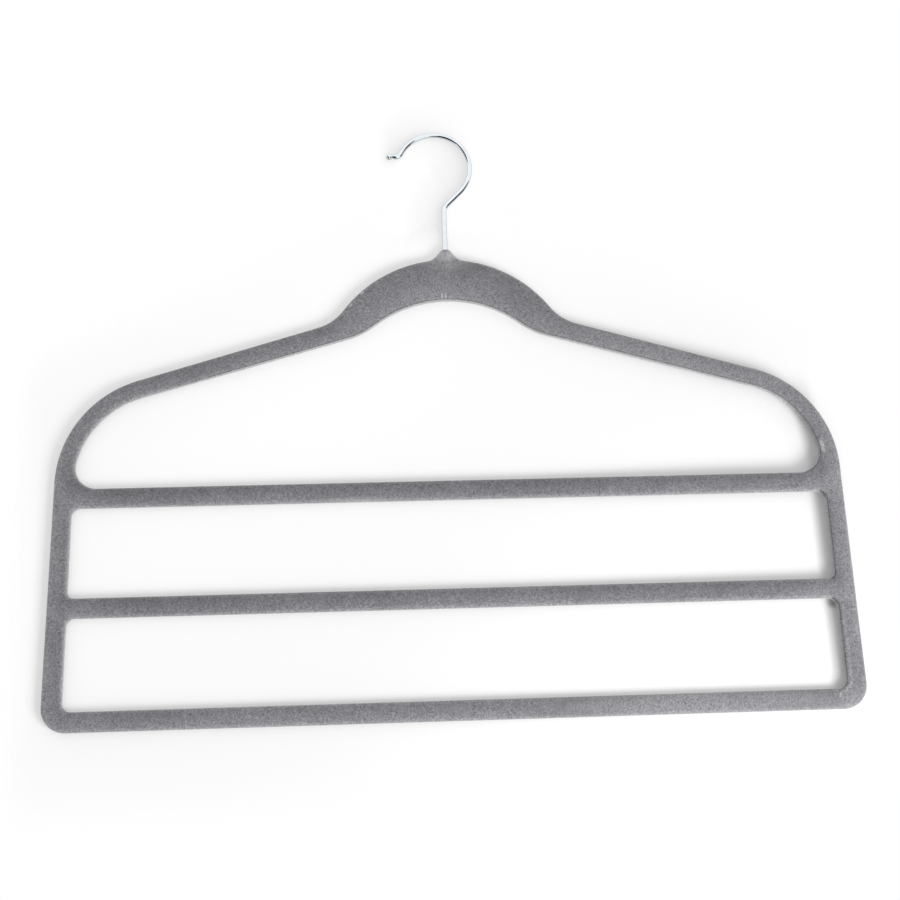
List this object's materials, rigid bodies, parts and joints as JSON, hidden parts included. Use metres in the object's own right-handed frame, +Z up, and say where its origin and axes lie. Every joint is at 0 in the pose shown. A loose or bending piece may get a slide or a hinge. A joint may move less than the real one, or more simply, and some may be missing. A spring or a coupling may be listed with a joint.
{
  "type": "trouser hanger",
  "caption": "Slim flocked trouser hanger with arched neck, sloping arms, stacked trouser bars between side rails, and a swivel wire hook.",
  "frame": {"origin": "on the hook's swivel axis, at the inside of the hook wire, where a rail carries the level hanger", "axes": "+X along the trouser bars, with the hook open towards -X; +Y through the thickness, with the front face towards -Y; +Z up along the swivel axis"},
  "size_m": [0.4502, 0.0066, 0.3456],
  "materials": {
    "flocked_plastic": "short velvet flock bonded to a moulded core, dull grey",
    "chromed_steel": "bright chrome plate on round steel wire",
    "spring_steel": "plain spring steel, hidden in the neck"
  },
  "bodies": {
    "frame": {"hanger_frame": "flocked_plastic"},
    "hook": {"swivel_hook": "chromed_steel", "retaining_ring": "spring_steel"}
  },
  "joints": [
    {"name": "hook_swivel", "type": "hinge", "parent": "frame", "child": "hook", "pos_m": [0, 0, -0.071], "axis": [0, 0, 1], "continuous": true}
  ]
}
